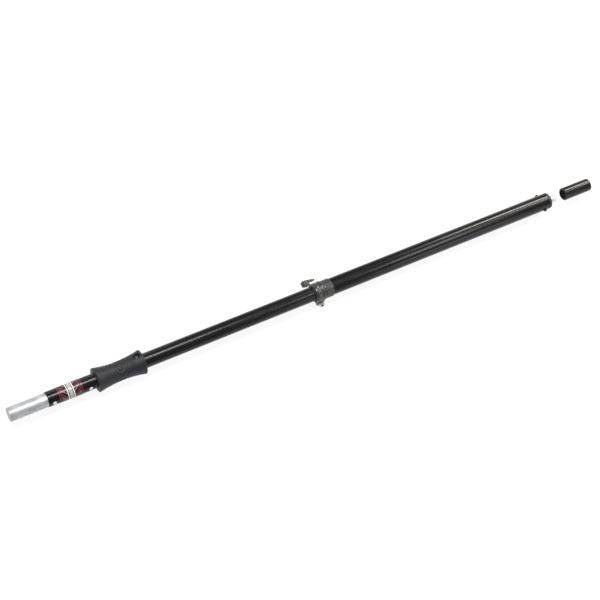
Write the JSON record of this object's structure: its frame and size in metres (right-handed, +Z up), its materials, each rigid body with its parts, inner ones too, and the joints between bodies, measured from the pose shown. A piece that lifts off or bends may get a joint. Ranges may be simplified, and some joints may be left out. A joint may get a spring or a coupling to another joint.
{
  "type": "telescoping speaker pole",
  "caption": "Telescoping speaker pole with a bare spigot, waisted hand grip, T-knob clamp collar, threaded tail screw and a loose adapter sleeve.",
  "frame": {"origin": "under the middle of the pole's box, on the surface that the clamp's ears rest on", "axes": "+X along the pole from the bare spigot to the threaded tail, +Y towards the T-knob, +Z up with the pole lying down"},
  "size_m": [1.7198, 0.0822, 0.0718],
  "materials": {
    "black_anodised": "satin black anodised tube",
    "bare_aluminium": "bare drawn aluminium, satin",
    "painted_casting": "grey painted die casting, half gloss",
    "bright_steel": "bright zinc plated steel",
    "black_steel": "black oxide steel",
    "black_moulding": "moulded black nylon, fine texture",
    "grip_rubber": "moulded charcoal grip rubber with ripple ribs",
    "natural_nylon": "natural nylon",
    "seal_rubber": "black seal rubber",
    "printed_vinyl": "glossy printed vinyl wrap"
  },
  "bodies": {
    "outer": {"outer_tube": "black_anodised", "clamp_collar": "painted_casting", "collar_rivet": "bare_aluminium", "clamp_bush": "black_moulding", "stop_tube": "natural_nylon", "clamp_washer": "bright_steel", "clamp_nut": "bright_steel", "tail_plug": "black_moulding", "tail_seal": "seal_rubber", "tail_screw_far": "black_steel", "tail_screw_near": "black_steel", "mount_screw": "bright_steel", "mount_washer": "bright_steel"},
    "knob": {"knob_handle": "black_moulding", "knob_spacer": "bright_steel", "clamp_screw": "black_steel"},
    "slide_rings": {"guide_ring": "natural_nylon", "piston_seal": "seal_rubber"},
    "inner": {"spigot_tube": "bare_aluminium", "spigot_tip_cap": "bare_aluminium", "inner_tube": "black_anodised", "label_wrap": "printed_vinyl", "spigot_rivet_front_near": "bare_aluminium", "spigot_rivet_front_far": "bare_aluminium", "spigot_rivet_rear_near": "bare_aluminium", "spigot_rivet_rear_far": "bare_aluminium", "grip_core": "black_moulding", "grip_cover": "grip_rubber", "grip_screw": "black_steel", "piston": "black_moulding", "piston_pin": "bright_steel"},
    "adapter": {"adapter_sleeve": "black_anodised", "adapter_insert": "black_steel"}
  },
  "joints": [
    {"name": "knob_turn", "type": "hinge", "parent": "outer", "child": "knob", "pos_m": [-0.008, 0.03, 0.011], "axis": [0, 1, 0], "range_deg": [0, 540]},
    {"name": "tube_slide", "type": "slide", "parent": "outer", "child": "slide_rings", "axis": [1, 0, 0], "range_m": [0, 0.4793]},
    {"name": "tube_turn", "type": "hinge", "parent": "slide_rings", "child": "inner", "pos_m": [0, -0.00974, 0.0405], "axis": [1, 0, 0], "continuous": true},
    {"name": "adapter_slide", "type": "slide", "parent": "outer", "child": "adapter", "axis": [1, 0, 0], "range_m": [-0.0519, 0]}
  ]
}
